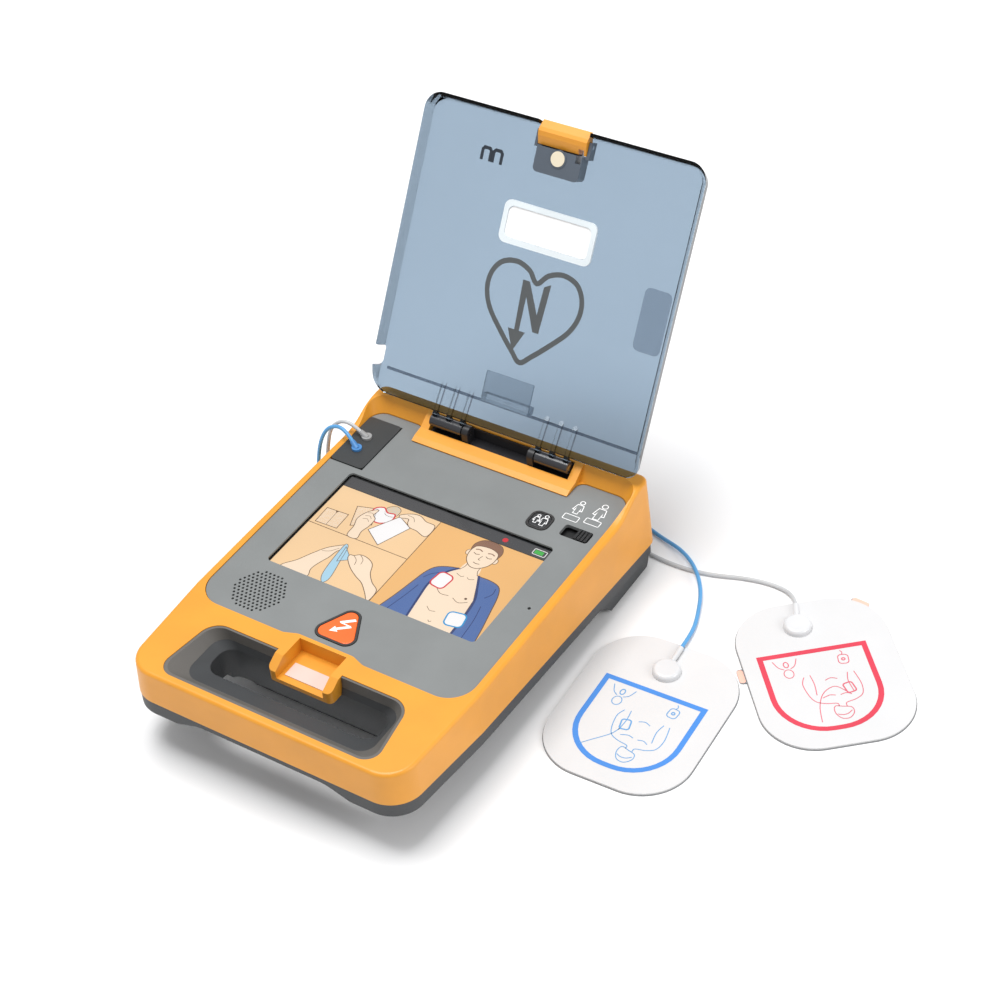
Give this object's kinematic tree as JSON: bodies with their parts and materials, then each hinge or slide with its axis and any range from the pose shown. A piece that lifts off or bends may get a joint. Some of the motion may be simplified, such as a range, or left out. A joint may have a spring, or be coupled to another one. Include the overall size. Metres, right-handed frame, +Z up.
{
  "type": "automated external defibrillator",
  "caption": "Portable defibrillator: handled case with colour display, push buttons, slide switch, hinged see-through lid and latch, plug-in leads and two electrode pads.",
  "frame": {"origin": "underside of the middle foot, in the plane that all feet stand on, on the case mid plane", "axes": "+X to the right of a user at the handle, +Y from the handle toward the lid hinge, +Z up"},
  "size_m": [0.4252, 0.3732, 0.257],
  "materials": {
    "orange_shell": "satin, fine grain",
    "dark_shell": "matt, fine grain",
    "grip": "soft matt",
    "plate": "matt",
    "pale_window": "gloss",
    "display_glass": "gloss",
    "display": "lit panel",
    "speaker": "matt",
    "button_ring": "satin",
    "shock_cap": "satin",
    "mode_cap": "satin",
    "switch_black": "matt",
    "plug": "satin",
    "blue_sleeve": "soft",
    "grey_sleeve": "soft",
    "board": "satin",
    "can": "sleeved",
    "core": "laminated",
    "bracket": "satin",
    "steel": "bright",
    "foot": "matt",
    "battery": "matt",
    "release": "satin",
    "smoke_lid": "clear, smoke tint",
    "hinge_dark": "satin",
    "holder": "clear",
    "card": "matt",
    "latch_dark": "satin",
    "magnet": "satin",
    "pad_liner": "film",
    "pad_foam": "soft foam",
    "pad_dome": "clear",
    "blue_lead": "satin",
    "grey_lead": "satin"
  },
  "bodies": {
    "housing": {"top_housing": "orange_shell", "bottom_housing": "dark_shell", "handle_insert": "grip", "faceplate": "plate", "status_window": "pale_window", "display_window": "display_glass", "display_panel": "display", "speaker_driver": "speaker", "shock_bezel": "button_ring", "mode_bezel": "button_ring", "patient_switch_body": "switch_black", "pads_plug": "plug", "connector_socket": "switch_black", "blue_strain_relief": "blue_sleeve", "grey_strain_relief": "grey_sleeve", "control_board": "board", "main_board": "board", "shock_capacitor": "can", "transformer": "core", "battery_contacts": "switch_black", "hinge_bracket": "bracket", "hinge_pin_left": "steel", "hinge_pin_right": "steel", "foot_front_left": "foot", "foot_front_right": "foot", "foot_centre": "foot", "foot_rear_left": "foot", "foot_rear_right": "foot", "screw_front_left": "steel", "screw_front_right": "steel", "screw_rear_left": "steel", "screw_rear_right": "steel", "blue_pad_liner": "pad_liner", "blue_pad_backing": "pad_foam", "blue_pad_dome": "pad_dome", "red_pad_liner": "pad_liner", "red_pad_backing": "pad_foam", "red_pad_dome": "pad_dome", "blue_lead_plug_side": "blue_lead", "blue_lead_coil": "blue_lead", "blue_lead_pad_side": "blue_lead", "grey_lead_plug_side": "grey_lead", "grey_lead_coil": "grey_lead", "grey_lead_pad_side": "grey_lead"},
    "lid": {"lid_shell": "smoke_lid", "lid_barrel_left": "hinge_dark", "lid_barrel_right": "hinge_dark", "label_holder": "holder", "label_card": "card", "lid_tongue": "holder", "latch_housing": "latch_dark", "lid_magnet": "magnet", "latch_pin": "steel"},
    "latch": {"lid_latch": "orange_shell"},
    "shock_button": {"shock_button": "shock_cap"},
    "mode_button": {"mode_button": "mode_cap"},
    "patient_switch": {"patient_switch_knob": "switch_black"},
    "battery": {"battery_pack": "battery"},
    "battery_release": {"battery_release": "release"}
  },
  "joints": [
    {"name": "lid_hinge", "type": "hinge", "parent": "housing", "child": "lid", "pos_m": [0, 0.1415, 0.074], "axis": [1, 0, 0], "range_deg": [0, 120.4]},
    {"name": "lid_latch_press", "type": "hinge", "parent": "lid", "child": "latch", "pos_m": [0, 0.2398, 0.24589], "axis": [-1, 0, 0], "range_deg": [0, 8], "stiffness_Nm_per_rad": 0.2, "springref_deg": -5.73},
    {"name": "shock_button_press", "type": "slide", "parent": "housing", "child": "shock_button", "axis": [0, 0, -1], "range_m": [0, 0.0015], "stiffness_N_per_m": 1500, "springref_m": -0.001},
    {"name": "mode_button_press", "type": "slide", "parent": "housing", "child": "mode_button", "axis": [0, 0, -1], "range_m": [0, 0.001], "stiffness_N_per_m": 1500, "springref_m": -0.001},
    {"name": "patient_switch_slide", "type": "slide", "parent": "housing", "child": "patient_switch", "axis": [-1, 0, 0], "range_m": [0, 0.009]},
    {"name": "battery_slide", "type": "slide", "parent": "housing", "child": "battery", "axis": [0, 0, -1], "range_m": [0, 0.045]},
    {"name": "battery_release_slide", "type": "slide", "parent": "housing", "child": "battery_release", "axis": [0, 1, 0], "range_m": [0, 0.004], "stiffness_N_per_m": 300, "springref_m": -0.003}
  ]
}
